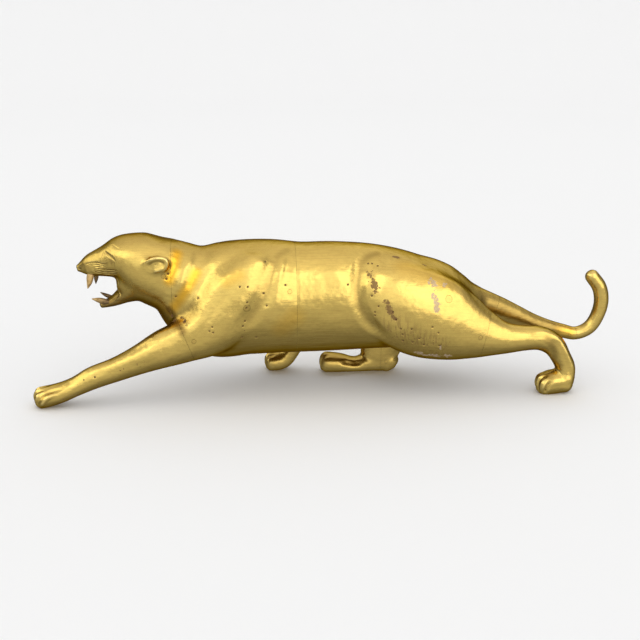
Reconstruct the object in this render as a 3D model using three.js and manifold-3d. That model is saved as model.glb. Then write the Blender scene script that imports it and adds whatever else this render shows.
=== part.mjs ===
// A prowling big cat in cast brass, made to ride on a car's bonnet. It faces -X and stands
// on four paws. The body is three hollow castings (head, front, rear), joined by lips that
// slide one inside the other. The legs and the tail are solid castings on round tenons.
// Cross pins lock every joint, plugs close the core holes and the four canines are let in.
import * as THREE from 'three';
import { LoftGeometry } from 'three/addons/geometries/LoftGeometry.js';
import { mergeVertices } from 'three/addons/utils/BufferGeometryUtils.js';
import Module from 'manifold-3d';

const wasm = await Module();
wasm.setup();

// ---- driving dimensions, in millimetres ----
const FIGURE_LENGTH = 287; // front toes to the outside of the tail's curl
const FIGURE_HEIGHT = 79; // floor to the crown of the head
const TRUNK_WIDTH = 46; // across the ribs
const WALL = 3.2; // skin of the hollow castings
const CLEARANCE = 0.3; // between any two pieces that touch
const LIP_LENGTH = 7; // how far a lip reaches into the casting in front of it
const LIP_WALL = 2.2;
const TENON_DIAMETER = 7; // legs
const TENON_LENGTH = 9;
const TAIL_TENON_DIAMETER = 5;
const TAIL_SPIGOT_DIAMETER = 3.4; // tail tip into tail root
const TAIL_SPIGOT_LENGTH = 8;
const FOOT_TENON_DIAMETER = 5;
const FOOT_TENON_LENGTH = 6;
const PIN_DIAMETER = 2;
const TAIL_PIN_DIAMETER = 1.4;
const PLUG_DIAMETER = 3.2; // closes the hole that held the core

// ---- the master drawing ----
// Stations are drawn at the drawing's own size and stretched to the driving sizes above.
// A station is [x, y, z, half height, half width]: the section is an ellipse square to the
// line through the stations. The left side of the cat is -Y, and z is 0 under the paws.
const DRAWN = { length: 287, height: 79, width: 46 };
const STRETCH = new THREE.Vector3(
  FIGURE_LENGTH / DRAWN.length,
  TRUNK_WIDTH / DRAWN.width,
  FIGURE_HEIGHT / DRAWN.height,
);

const TRUNK = [
  [-64, 0, 46, 24.8, 17.5], [-52, 0, 45.2, 28.6, 21.5], [-38, 0, 46.7, 29, 23],
  [-25, 0, 46.9, 28.8, 23], [-12, 0, 46.2, 27.9, 22], [6, 0, 46.3, 27.7, 21.8],
  [26, 0, 45.7, 26.5, 21.8], [42, 0, 43.9, 24.4, 21.5], [56, 0, 41.6, 21, 20],
  [67, 0, 41, 17, 16], [78, 0, 42.4, 9.4, 10.5],
];
const NECK_AND_SKULL = [
  [-48, 0, 47.5, 26, 19.5], [-59, 0, 49.4, 24, 18.5], [-71, 0, 57.4, 18, 17],
  [-81, 0, 62, 17.2, 16], [-90, 0, 66.2, 14.4, 14.5], [-96.8, 0, 67.4, 10.6, 12],
  [-102, 0, 66.5, 8.2, 9.8], [-107.5, 0, 65.3, 6.6, 7.6], [-113, 0, 63.9, 4.8, 5],
  [-117, 0, 63, 1.9, 2.4],
];
const HOLLOW_TRUNK = TRUNK.slice(0, -1); // the stations that the core reaches
const HOLLOW_SKULL = NECK_AND_SKULL.slice(0, 6);
const LOWER_JAW = [
  [-85, 0, 55.5, 8, 12], [-92, 0, 52, 5.4, 9.6], [-96.5, 0, 49, 4, 7.4],
  [-102, 0, 46, 2.4, 5.4], [-106.8, 0, 44.5, 1.6, 3.6],
];
const EAR = [[-85, -14, 66.5, 2, 1.4], [-79.5, -15.4, 67.3, 4.4, 2.4], [-73.5, -15.8, 66.8, 3, 1.6]];
const SHOULDER_AND_ARM = [
  [-30, -12.5, 66, 9.5, 6], [-37, -14, 55, 14, 9], [-46, -14.5, 43, 15.4, 10.5],
  [-56, -15, 34.8, 13.6, 10],
];
const LEFT_FRONT_LEG = [
  ...SHOULDER_AND_ARM, [-66, -16.5, 30.4, 11.2, 8.4], [-77, -18, 26.6, 9.5, 7.4],
  [-88, -19, 22, 7.3, 6.6], [-100, -19.5, 17.2, 5.9, 6], [-110, -20, 13.8, 5.5, 5.9],
  [-119, -20, 9.5, 4.7, 5.8], [-127, -20, 6.3, 4.9, 6.4], [-135.4, -20, 4.3, 5.3, 6.6],
];
const RIGHT_FRONT_LEG = [
  ...SHOULDER_AND_ARM.slice(0, 3).map(mirrored), [-38, 19, 33, 9, 7.5], [-26, 22.5, 27, 7, 6],
  [-14.5, 24, 23.5, 5.5, 5.2], [-10.5, 24.5, 17, 4.6, 4.8], [-13, 25, 10.5, 4.3, 5],
  [-18, 25.5, 5.3, 5, 6], [-24, 25.5, 4.2, 4.9, 6.4],
];
const HAUNCH = [
  [22.5, -14, 53.5, 13, 7.5], [32, -13.6, 48.5, 19, 11], [44, -13.4, 42.4, 22, 13],
  [57, -13.6, 37.4, 21.4, 13], [69, -14.8, 33, 17.4, 11.6],
];
const HOLLOW_HAUNCH = HAUNCH.slice(0, 4);
const LEFT_HIND_LEG = [
  ...HAUNCH, [80, -16.6, 29.8, 12.2, 9.2], [90, -18.4, 28.1, 8, 7.2],
  [99, -19.4, 28.2, 6.3, 6], [106.5, -20, 28.2, 6, 5.6], [113.2, -20, 25, 5.7, 5.2],
  [117.8, -20, 18.4, 4.9, 4.9], [120.5, -20, 12.5, 4.9, 4.9], [120.4, -20, 6.8, 5, 5.4],
];
const LEFT_HIND_PAW = [
  [121, -20, 4.3, 4.7, 5.4], [116, -20, 5.4, 6.3, 6], [109.8, -20, 4.4, 5.7, 6.4],
];
const RIGHT_HIND_LEG = [
  [52, 13.5, 44, 16, 10], [45, 17, 33, 13.5, 9.5], [37.8, 20, 23, 11.2, 8],
  [33.6, 20.5, 13.5, 10.8, 7.2], [33, 20.5, 8.4, 10, 6.8],
];
const RIGHT_HIND_FOOT = [
  [38, 20.5, 5.6, 6.2, 6.4], [29, 20.5, 5, 5.6, 6.2], [20, 20.5, 3.4, 3.8, 6],
  [12, 20.5, 4.4, 4.9, 6.4], [5, 20.5, 5, 5.4, 6.6],
];
const TAIL = [
  [76, 0, 44, 7, 8], [88, 0, 39.8, 5.1, 5.2], [98.5, 0, 35, 4.5, 4.5],
  [107, 0, 31, 4.2, 4.2], [115.5, 0, 27.8, 4, 4], [124, 0, 25.5, 3.6, 3.6],
  [131, 0, 24, 3.4, 3.4], [137.9, 0, 26.6, 3.3, 3.3], [142.3, 0, 33.8, 3.3, 3.3],
  [143.7, 0, 41.3, 3.4, 3.4], [142.1, 0, 48, 3.4, 3.4], [137.6, 0, 54, 3.3, 3.3],
];
const TEETH = {
  upper_left_canine: [
    [-110.6, -3.6, 63, 1, 1], [-111.3, -3.8, 60.2, 1.2, 1.2], [-112.2, -4, 56, 1, 1],
    [-112.5, -4, 53.6, 0.4, 0.4],
  ],
  upper_right_canine: [
    [-108.8, 3.2, 63, 0.9, 0.9], [-109.4, 3.3, 60.2, 1.1, 1.1], [-109.8, 3.4, 56, 0.9, 0.9],
    [-109.8, 3.4, 53.8, 0.4, 0.4],
  ],
  lower_left_canine: [
    [-101.8, -3, 45.9, 0.8, 0.8], [-104.6, -3.4, 46.6, 1, 1], [-108, -3.7, 47.6, 1.1, 1.1],
    [-111.2, -4, 48.1, 0.4, 0.4],
  ],
  lower_right_canine: [
    [-100.8, 2.6, 46.4, 0.8, 0.8], [-103.4, 2.8, 47.2, 1, 1], [-106, 3, 47.8, 1, 1],
    [-108.4, 3.2, 48.3, 0.4, 0.4],
  ],
};

const NECK_SEAM_X = -72 * STRETCH.x;
const WAIST_SEAM_X = -12.5 * STRETCH.x;
const NECK_PIN_Z = 62 * STRETCH.z;
const WAIST_PIN_Z = 54.6 * STRETCH.z;
const FOOT_SEAM = { x: 32.9 * STRETCH.x, top: 17 * STRETCH.z };
const FOOT_TENON_Z = 6.2 * STRETCH.z;
const FOOT_Y = 20.5 * STRETCH.y;
const CORE_HOLES = { front: [-36.5, 47.5], rear: [60, 50] }; // x and z of each pair of plugs
const LEFT_FRONT_SEAM = 4; // the number of the station where each limb leaves the body
const RIGHT_FRONT_SEAM = 4;
const LEFT_HIND_SEAM = 5;
const RIGHT_HIND_SEAM = 1;
const TAIL_SEAM = 1;
const TAIL_TIP_SEAM = 6;

// ---- fineness of the faceted skins ----
const TRUNK_SIDES = 22;
const LIMB_SIDES = 12;
const TAIL_SIDES = 12;
const TOOTH_SIDES = 8;
const ROD_SIDES = 10;
const END_STEPS = [70, 35]; // degrees, the rings that round off the end of a mass
const BEYOND = 400; // larger than the whole figure, for half spaces and through bars

function mirrored([x, y, z, height, width]) {
  return [x, -y, z, height, width];
}

// ---- solids ----
function toSolid(geometry) {
  const bare = new THREE.BufferGeometry();
  bare.setAttribute('position', geometry.getAttribute('position'));
  bare.setIndex(geometry.getIndex());
  const merged = mergeVertices(bare, 1e-4);
  return new wasm.Manifold(new wasm.Mesh({
    numProp: 3,
    vertProperties: new Float32Array(merged.attributes.position.array),
    triVerts: new Uint32Array(merged.index.array),
  }));
}

function toGeometry(solid) {
  const mesh = solid.getMesh();
  const geometry = new THREE.BufferGeometry();
  geometry.setAttribute('position', new THREE.Float32BufferAttribute(mesh.vertProperties, 3));
  geometry.setIndex(new THREE.Uint32BufferAttribute(mesh.triVerts, 1));
  geometry.computeVertexNormals();
  return geometry;
}

const union = (...solids) => solids.reduce((sum, solid) => sum.add(solid));

// Centre, direction and half sizes of a mass at a share of the way along its stations.
function sectionAt(stations, share) {
  const centres = stations.map(([x, y, z]) => new THREE.Vector3(x, y, z).multiply(STRETCH));
  const sizes = stations.map(([, , , height, width]) => (
    new THREE.Vector3(0, width * STRETCH.y, height * STRETCH.z)
  ));
  const path = new THREE.CatmullRomCurve3(centres);
  const centre = path.getPoint(share);
  const size = new THREE.CatmullRomCurve3(sizes, false, 'catmullrom', 0.5).getPoint(share);
  const along = path.getTangent(share);
  const side = new THREE.Vector3(0, 1, 0).addScaledVector(along, -along.y).normalize();
  const up = new THREE.Vector3().crossVectors(along, side);
  return { centre, along, side, up, height: size.z, width: size.y };
}

function ring(section, grow, shrink, slide, sides) {
  const height = (section.height + grow) * shrink;
  const width = (section.width + grow) * shrink;
  const centre = section.centre.clone().addScaledVector(section.along, slide);
  return Array.from({ length: sides }, (_, i) => {
    const angle = (i / sides) * 2 * Math.PI;
    return centre.clone()
      .addScaledVector(section.side, width * Math.cos(angle))
      .addScaledVector(section.up, height * Math.sin(angle));
  });
}

// A closed mass skinned over its stations, with domed ends. grow moves the skin out by a
// clearance, or in by a wall. bluntness is the depth of the domes as a share of the section.
function mass(stations, { grow = 0, sides = LIMB_SIDES, blunt = [0.8, 0.8], perStation = 2 } = {}) {
  const last = (stations.length - 1) * perStation;
  const sections = Array.from({ length: last + 1 }, (_, i) => sectionAt(stations, i / last));
  const dome = (section, depth, sign) => END_STEPS.map(degrees => {
    const angle = THREE.MathUtils.degToRad(degrees);
    const reach = (Math.min(section.height, section.width) + grow) * depth;
    return ring(section, grow, Math.cos(angle), sign * reach * Math.sin(angle), sides);
  });
  const rings = [
    ...dome(sections[0], blunt[0], -1),
    ...sections.map(section => ring(section, grow, 1, 0, sides)),
    ...dome(sections[last], blunt[1], 1).reverse(),
  ];
  return toSolid(new LoftGeometry(rings, { capStart: true, capEnd: true }));
}

function rod(start, end, diameter) {
  const length = start.distanceTo(end);
  const geometry = new THREE.CylinderGeometry(diameter / 2, diameter / 2, length, ROD_SIDES);
  const direction = end.clone().sub(start).normalize();
  geometry.applyQuaternion(new THREE.Quaternion().setFromUnitVectors(new THREE.Vector3(0, 1, 0), direction));
  geometry.translate(...start.clone().add(end).multiplyScalar(0.5).toArray());
  return toSolid(geometry);
}

// Everything past a plane, on the side that the direction points to.
function beyond(point, direction) {
  const geometry = new THREE.BoxGeometry(2 * BEYOND, 2 * BEYOND, BEYOND);
  geometry.translate(0, 0, BEYOND / 2);
  geometry.applyQuaternion(new THREE.Quaternion().setFromUnitVectors(new THREE.Vector3(0, 0, 1), direction));
  geometry.translate(...point.toArray());
  return toSolid(geometry);
}

// Both sides of a seam, each cut back by half of the clearance.
function seam(point, direction) {
  const half = direction.clone().multiplyScalar(CLEARANCE / 2);
  return {
    after: beyond(point.clone().add(half), direction),
    before: beyond(point.clone().sub(half), direction.clone().negate()),
  };
}

// A limb leaves the body at one of its stations, on a round tenon that a pin crosses.
function limb(stations, station, { tenon, depth, pinFrom, pin = PIN_DIAMETER, options = {} }) {
  const root = sectionAt(stations, station / (stations.length - 1));
  const cut = seam(root.centre, root.along);
  const whole = mass(stations, options);
  const at = distance => root.centre.clone().addScaledVector(root.along, distance);
  const cross = at(-depth / 2);
  const outside = cross.clone().addScaledVector(pinFrom, BEYOND / 4);
  const inside = cross.clone().addScaledVector(pinFrom, -(tenon / 2 + CLEARANCE));
  const pinHole = rod(outside, inside.clone().addScaledVector(pinFrom, -CLEARANCE), pin + 2 * CLEARANCE);
  const peg = rod(at(-depth), at(WALL), tenon);
  return {
    upper: whole.intersect(cut.before),
    lower: whole.intersect(cut.after).add(peg).subtract(pinHole),
    seat: mass(stations, { ...options, grow: CLEARANCE }).intersect(beyond(at(-CLEARANCE / 2), root.along)),
    socket: rod(at(-depth - CLEARANCE), at(CLEARANCE), tenon + 2 * CLEARANCE),
    boss: rod(at(-depth - WALL), at(-CLEARANCE / 2), tenon + 2 * WALL),
    pinHole,
    pin: rod(outside, inside, pin),
  };
}

// ---- masses of the figure ----
const floor = beyond(new THREE.Vector3(0, 0, 0), new THREE.Vector3(0, 0, 1));
const left = new THREE.Vector3(0, -1, 0);
const right = new THREE.Vector3(0, 1, 0);
const top = new THREE.Vector3(0, 0, 1);
const onLeg = { tenon: TENON_DIAMETER, depth: TENON_LENGTH };
const limbs = {
  left_front_leg: limb(LEFT_FRONT_LEG, LEFT_FRONT_SEAM, { ...onLeg, pinFrom: left }),
  right_front_leg: limb(RIGHT_FRONT_LEG, RIGHT_FRONT_SEAM, { ...onLeg, pinFrom: right }),
  left_hind_leg: limb(LEFT_HIND_LEG, LEFT_HIND_SEAM, { ...onLeg, pinFrom: left }),
  right_hind_leg: limb(RIGHT_HIND_LEG, RIGHT_HIND_SEAM, { ...onLeg, pinFrom: right }),
  tail_root: limb(TAIL, TAIL_SEAM, {
    tenon: TAIL_TENON_DIAMETER, depth: TENON_LENGTH, pinFrom: top,
    options: { sides: TAIL_SIDES, blunt: [0.5, 0.9] },
  }),
};
const trunkShape = { sides: TRUNK_SIDES, perStation: 1, blunt: [0.42, 0.6] };
const skullShape = { sides: TRUNK_SIDES, blunt: [0.2, 0.8] };
const pattern = union(
  mass(TRUNK, trunkShape),
  mass(NECK_AND_SKULL, skullShape),
  mass(LOWER_JAW, { sides: LIMB_SIDES, blunt: [0.3, 0.9] }),
  mass(EAR, { sides: TOOTH_SIDES }),
  mass(EAR.map(mirrored), { sides: TOOTH_SIDES }),
  mass(HAUNCH.map(mirrored)),
  ...Object.values(limbs).map(part => part.upper),
);
const cavity = union(
  mass(HOLLOW_TRUNK, { ...trunkShape, grow: -WALL }),
  mass(HOLLOW_SKULL, { ...skullShape, grow: -WALL, blunt: [0.2, 0.5] }),
  mass(HOLLOW_HAUNCH, { grow: -WALL, perStation: 1 }),
  mass(HOLLOW_HAUNCH.map(mirrored), { grow: -WALL, perStation: 1 }),
);

// ---- the hollow body and its lips ----
const limbParts = Object.values(limbs);
const seated = limbParts.reduce((body, part) => body.subtract(part.seat), pattern);
const bosses = union(...limbParts.map(part => part.boss)).intersect(seated);
let shell = seated.subtract(cavity).add(bosses);
for (const part of limbParts) shell = shell.subtract(part.socket).subtract(part.pinHole);

function slab(fromX, toX) {
  const forward = new THREE.Vector3(1, 0, 0);
  return beyond(new THREE.Vector3(fromX, 0, 0), forward)
    .subtract(beyond(new THREE.Vector3(toX, 0, 0), forward));
}

// A lip is a sleeve inside the skin. Its root is joined to the casting behind the seam and
// its free end slides into the casting in front.
function lip(stations, shape, seamX) {
  const end = seamX + LIP_LENGTH;
  const bore = mass(stations, { ...shape, grow: -(WALL + CLEARANCE + LIP_WALL) });
  const sleeve = mass(stations, { ...shape, grow: -(WALL + CLEARANCE) });
  const root = mass(stations, { ...shape, grow: -WALL / 2 });
  const solid = union(
    sleeve.intersect(slab(seamX - LIP_LENGTH, end)),
    root.intersect(slab(seamX + CLEARANCE / 2, end)),
  ).subtract(bore);
  return { solid, bore };
}

const neckLip = lip(HOLLOW_SKULL, skullShape, NECK_SEAM_X);
const waistLip = lip(HOLLOW_TRUNK, trunkShape, WAIST_SEAM_X);
const neck = seam(new THREE.Vector3(NECK_SEAM_X, 0, 0), new THREE.Vector3(1, 0, 0));
const waist = seam(new THREE.Vector3(WAIST_SEAM_X, 0, 0), new THREE.Vector3(1, 0, 0));
const pieces = {
  head_casting: shell.intersect(neck.before),
  front_body_casting: shell.intersect(neck.after).intersect(waist.before).add(neckLip.solid),
  rear_body_casting: shell.intersect(waist.after).add(waistLip.solid),
};

// ---- pins and plugs through the skin, square to the sides and dressed flush with them ----
const fixings = {};
function fix(piece, { x, z, diameter, inside, castings }) {
  for (const [name, sign] of [['left', -1], ['right', 1]]) {
    const bar = width => (
      rod(new THREE.Vector3(x, 0, z), new THREE.Vector3(x, sign * BEYOND / 4, z), width)
    );
    fixings[`${piece}_${name}`] = bar(diameter).intersect(seated).subtract(inside);
    for (const casting of castings) {
      pieces[casting] = pieces[casting].subtract(bar(diameter + 2 * CLEARANCE));
    }
  }
}

fix('neck_pin', {
  x: NECK_SEAM_X - LIP_LENGTH / 2, z: NECK_PIN_Z, diameter: PIN_DIAMETER,
  inside: neckLip.bore, castings: ['head_casting', 'front_body_casting'],
});
fix('waist_pin', {
  x: WAIST_SEAM_X - LIP_LENGTH / 2, z: WAIST_PIN_Z, diameter: PIN_DIAMETER,
  inside: waistLip.bore, castings: ['front_body_casting', 'rear_body_casting'],
});
for (const [end, [x, z]] of Object.entries(CORE_HOLES)) {
  fix(`${end}_core_plug`, {
    x: x * STRETCH.x, z: z * STRETCH.z, diameter: PLUG_DIAMETER,
    inside: cavity, castings: [`${end}_body_casting`],
  });
}

// ---- teeth: each has a root let into the jaw ----
for (const [name, stations] of Object.entries(TEETH)) {
  const shape = { sides: TOOTH_SIDES, blunt: [0.1, 0.9] };
  pieces.head_casting = pieces.head_casting.subtract(mass(stations, { ...shape, grow: CLEARANCE }));
  pieces[name] = mass(stations, shape);
}

// ---- legs, the separate right hind foot and the tail ----
for (const name of ['left_front_leg', 'right_front_leg', 'left_hind_leg', 'right_hind_leg']) {
  pieces[name] = limbs[name].lower;
}
pieces.left_hind_leg = pieces.left_hind_leg.add(mass(LEFT_HIND_PAW));

const heelAndFoot = pieces.right_hind_leg.add(mass(RIGHT_HIND_FOOT));
const footSide = seam(new THREE.Vector3(FOOT_SEAM.x, 0, 0), new THREE.Vector3(-1, 0, 0));
const footTop = seam(new THREE.Vector3(0, 0, FOOT_SEAM.top), new THREE.Vector3(0, 0, -1));
const pegAt = x => new THREE.Vector3(x, FOOT_Y, FOOT_TENON_Z);
const footPeg = rod(pegAt(FOOT_SEAM.x - WALL), pegAt(FOOT_SEAM.x + FOOT_TENON_LENGTH), FOOT_TENON_DIAMETER);
const footSocket = rod(
  pegAt(FOOT_SEAM.x),
  pegAt(FOOT_SEAM.x + FOOT_TENON_LENGTH + CLEARANCE),
  FOOT_TENON_DIAMETER + 2 * CLEARANCE,
);
const footPinX = FOOT_SEAM.x + FOOT_TENON_LENGTH / 2;
const footPinEnd = new THREE.Vector3(footPinX, FOOT_Y - BEYOND / 4, FOOT_TENON_Z);
const footPinTip = pegAt(footPinX);
const footPinHoleTip = footPinTip.clone().add(new THREE.Vector3(0, CLEARANCE, 0));
const footPinHole = rod(footPinEnd, footPinHoleTip, PIN_DIAMETER + 2 * CLEARANCE);
const heel = union(heelAndFoot.intersect(footSide.before), heelAndFoot.intersect(footTop.before));
pieces.right_hind_leg = heel.subtract(footSocket).subtract(footPinHole);
pieces.right_hind_foot = heelAndFoot.intersect(footSide.after).intersect(footTop.after)
  .add(footPeg)
  .subtract(footPinHole);
pieces.right_hind_foot_pin = rod(footPinEnd, footPinTip, PIN_DIAMETER).intersect(heelAndFoot);

const tip = sectionAt(TAIL, TAIL_TIP_SEAM / (TAIL.length - 1));
const tipCut = seam(tip.centre, tip.along);
const onTail = distance => tip.centre.clone().addScaledVector(tip.along, distance);
const tailPinAt = sign => onTail(-TAIL_SPIGOT_LENGTH / 2).add(new THREE.Vector3(0, sign * BEYOND / 4, 0));
const tailPinHole = rod(tailPinAt(-1), tailPinAt(1), TAIL_PIN_DIAMETER + 2 * CLEARANCE);
const tail = limbs.tail_root.lower;
pieces.tail_root = tail.intersect(tipCut.before)
  .subtract(rod(onTail(-TAIL_SPIGOT_LENGTH - CLEARANCE), onTail(0), TAIL_SPIGOT_DIAMETER + 2 * CLEARANCE))
  .subtract(tailPinHole);
pieces.tail_tip = tail.intersect(tipCut.after)
  .add(rod(onTail(-TAIL_SPIGOT_LENGTH), onTail(WALL / 2), TAIL_SPIGOT_DIAMETER))
  .subtract(tailPinHole);
pieces.tail_pin = rod(tailPinAt(-1), tailPinAt(1), TAIL_PIN_DIAMETER).intersect(tail);

// ---- every pin and plug is dressed flush with the skin ----
for (const [name, part] of Object.entries(limbs)) {
  pieces[`${name}_pin`] = part.pin.intersect(seated);
}
Object.assign(pieces, fixings);

// ---- finishes ----
const castBrass = new THREE.MeshStandardMaterial({ color: 0xc9a24a, roughness: 0.32, metalness: 1 });
const pinBrass = new THREE.MeshStandardMaterial({ color: 0xb8893f, roughness: 0.4, metalness: 1 });
const toothBronze = new THREE.MeshStandardMaterial({ color: 0xc79a72, roughness: 0.6, metalness: 0.4 });

function finishOf(name) {
  if (name.includes('canine')) return toothBronze;
  return name.includes('pin') || name.includes('plug') ? pinBrass : castBrass;
}

const ornament = new THREE.Group();
for (const [name, solid] of Object.entries(pieces)) {
  const piece = new THREE.Mesh(toGeometry(solid.intersect(floor)), finishOf(name));
  piece.name = name;
  ornament.add(piece);
}

// The origin is on the floor, under the middle of the figure's box.
const box = new THREE.Box3().setFromObject(ornament);
const middle = box.getCenter(new THREE.Vector3());
ornament.position.set(-middle.x, -middle.y, -box.min.z);

export default ornament;
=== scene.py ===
# %% [markdown]
# # A prowling cat in polished brass
#
# The real ornament is cast in several pieces, pinned together, filed flush and polished until
# it reads as one body. It is made the same way here: masses are lofted and fused into one
# skin, the skin is sculpted, and only then is it sawn into its castings, so every seam runs
# unbroken across the muscles.

# %% Load the fixed frame
import math
from contextlib import contextmanager

import bmesh
import bpy
import numpy as np
from mathutils import Matrix, Vector
from mathutils.bvhtree import BVHTree


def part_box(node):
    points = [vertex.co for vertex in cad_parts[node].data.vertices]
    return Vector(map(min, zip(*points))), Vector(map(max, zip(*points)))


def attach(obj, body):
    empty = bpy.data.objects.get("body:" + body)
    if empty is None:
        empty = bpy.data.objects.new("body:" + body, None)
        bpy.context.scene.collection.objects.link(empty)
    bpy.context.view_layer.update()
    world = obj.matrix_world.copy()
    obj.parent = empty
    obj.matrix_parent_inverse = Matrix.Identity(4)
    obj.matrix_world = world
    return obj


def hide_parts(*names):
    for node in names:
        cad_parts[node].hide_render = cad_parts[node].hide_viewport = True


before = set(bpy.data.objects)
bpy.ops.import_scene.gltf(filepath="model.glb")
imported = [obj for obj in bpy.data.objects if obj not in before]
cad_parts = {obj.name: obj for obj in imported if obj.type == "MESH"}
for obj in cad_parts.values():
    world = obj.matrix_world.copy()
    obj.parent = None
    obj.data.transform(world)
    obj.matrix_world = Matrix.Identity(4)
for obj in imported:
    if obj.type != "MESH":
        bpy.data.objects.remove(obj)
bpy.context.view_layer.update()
print("nodes in the frame:", len(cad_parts))

# %% [markdown]
# ## The drawing
#
# The cat is drawn in millimetres from its left side: x runs from the nose to the tail, y to
# its right flank and z up from the floor. Two places tie the drawing to the frame: the back
# of the head casting is the neck seam, and the tail lies in the middle plane.

# %% From the drawing to the frame
MM = 0.001
NECK_SEAM = -72.0
WAIST_SEAM = -12.5
FRAME_GAP = 0.3
neck_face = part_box("head_casting")[1].x / MM
tail_low, tail_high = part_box("tail_tip")
HOME = Vector((neck_face - NECK_SEAM + FRAME_GAP / 2, (tail_low.y + tail_high.y) / 2 / MM, 0))
TO_FRAME = Matrix.Scale(MM, 4) @ Matrix.Translation(HOME)
print("the drawing's zero is at", tuple(round(v, 2) for v in HOME), "mm in the frame")

# %% [markdown]
# ## Masses
#
# Clay modellers start from simple sausages. Each one here is a list of stations
# (x, y, z, half height, half width) on a smooth curve, with a ring of `create_circle` square to
# the curve at every step, joined by `bridge_loops`. Moving one station reshapes it.

# %% Loft a mass over its stations
SIDES = 32
DOME = [80, 60, 40, 20]


def sections(stations, step, start=0):
    """Rows of x, y, z, half height and half width, a step apart, from the station numbered start."""
    table = np.array(stations, float)
    reach = np.r_[0, np.cumsum(np.linalg.norm(np.diff(table[:, :3], axis=0), axis=1))]
    slope = np.gradient(table, reach, axis=0)
    rows = []
    for i in range(start, len(table) - 1):
        gap = reach[i + 1] - reach[i]
        for t in np.arange(0, 1, 1 / max(2, round(gap / step))):
            rows.append(
                (1 + 2 * t) * (1 - t) ** 2 * table[i]
                + t * (1 - t) ** 2 * gap * slope[i]
                + t * t * (3 - 2 * t) * table[i + 1]
                + t * t * (t - 1) * gap * slope[i + 1]
            )
    return np.array(rows + [table[-1]])


def add_ring(bm, verts, before):
    """Joins a new ring to the one before it. The first ring is closed with a face."""
    ring = list(dict.fromkeys(edge for vert in verts for edge in vert.link_edges))
    if before:
        bmesh.ops.bridge_loops(bm, edges=before + ring)
    else:
        bmesh.ops.edgeloop_fill(bm, edges=ring)
    return ring


def loft(bm, stations, blunt=(0.8, 0.8), grow=0.0, sides=SIDES, step=1.5, start=0, lead=0.0):
    """A closed mass with domed ends.

    grow is one number, or one for each end, and lead lengthens the start.
    """
    rows = sections(stations, step, start)
    heading = np.gradient(rows[:, :3], axis=0)
    rows[0, :3] -= lead * heading[0] / np.linalg.norm(heading[0])
    swell = np.linspace(*(grow if isinstance(grow, tuple) else (grow, grow)), len(rows))
    stops = [(i, 0.0, 1.0) for i in range(len(rows))]
    cap = [(math.sin(math.radians(a)), math.cos(math.radians(a))) for a in DOME]
    if blunt[0]:
        stops = [(0, -blunt[0] * rise, shrink) for rise, shrink in cap] + stops
    if blunt[1]:
        stops += [(len(rows) - 1, blunt[1] * rise, shrink) for rise, shrink in cap[::-1]]
    before = None
    for i, slide, shrink in stops:
        ahead = Vector(heading[i]).normalized()
        side = (Vector((0, 1, 0)) - ahead * ahead.y).normalized()
        up = ahead.cross(side)
        height, width = rows[i, 3] + swell[i], rows[i, 4] + swell[i]
        centre = Vector(rows[i, :3]) + ahead * slide * min(height, width)
        turn = Matrix((side * width * shrink, up * height * shrink, ahead)).transposed().to_4x4()
        place = Matrix.Translation(centre) @ turn
        made = bmesh.ops.create_circle(bm, segments=sides, radius=1, matrix=place)
        before = add_ring(bm, made["verts"], before)
    bmesh.ops.edgeloop_fill(bm, edges=before)


def mirrored(stations):
    """The same stations on the other flank."""
    return [(x, -y, z, height, width) for x, y, z, height, width in stations]


print("a mass has", SIDES, "sides")

# %% [markdown]
# ## The body, the neck and the head
#
# On the real cat these are two castings and the head. Their sausages overlap deeply, so the
# later skin has no thin places between them. Typed stations are quicker to correct than a
# traced curve, because each one moves a single width or height.

# %% The trunk, the neck and the head
TRUNK = [
    (-64, 0, 46, 24.8, 17.5), (-52, 0, 45.2, 28.6, 21.5), (-38, 0, 46.7, 29, 23), (-25, 0, 46.9, 28.8, 23),
    (-12, 0, 46.2, 27.9, 22), (6, 0, 46.3, 27.7, 21.8), (26, 0, 45.7, 26.5, 21.8),
    (42, 0, 43.9, 24.4, 21.5), (56, 0, 41.6, 21, 20), (67, 0, 41, 17, 16), (78, 0, 41.8, 8.4, 9.6),
]
NECK_AND_SKULL = [
    (-48, 0, 47.5, 26, 19.5), (-59, 0, 49.4, 24, 18.5), (-71, 0, 57.4, 18, 17), (-81, 0, 62, 17.2, 16),
    (-90, 0, 66.2, 14.4, 14.5), (-96.8, 0, 67.6, 11.2, 12), (-102, 0, 66.6, 8.5, 9.8),
    (-107.5, 0, 65.3, 6.6, 7.6), (-113, 0, 63.9, 4.8, 5), (-117, 0, 63, 1.9, 2.4),
]
LOWER_JAW = [
    (-85, 0, 55.3, 8.4, 12), (-92, 0, 51.8, 5.6, 9.6), (-96.5, 0, 49, 4.1, 7.4), (-102, 0, 46, 2.4, 5.4),
    (-106.8, 0, 44.5, 1.6, 3.6),
]
CHEEKS = [(-87, 0, 56.4, 8.4, 11.6), (-93, 0, 55.6, 6.6, 9.6), (-97.4, 0, 55.6, 4.2, 7.6)]
WHISKER_PAD = [(-99, -4.4, 64.6, 4, 4.6), (-106, -3.9, 64.2, 3.5, 4), (-112, -2.6, 62.9, 3, 2.9)]
EAR = [(-85, -14, 66.5, 2, 1.4), (-79.5, -15.4, 67.3, 4.8, 2.4), (-73.5, -15.8, 67, 3.6, 1.6)]
print("the trunk has", len(TRUNK), "stations, the neck and skull", len(NECK_AND_SKULL))

# %% [markdown]
# ## Legs, feet and tail
#
# Each leg is one sausage from inside the body down to the paw, and the tail is a tapering rod
# that curls up. Paws could be blocks with toes cut in, but a thick rounded end keeps the soft
# section of the leg, and the toes are chased in afterwards.

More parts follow.
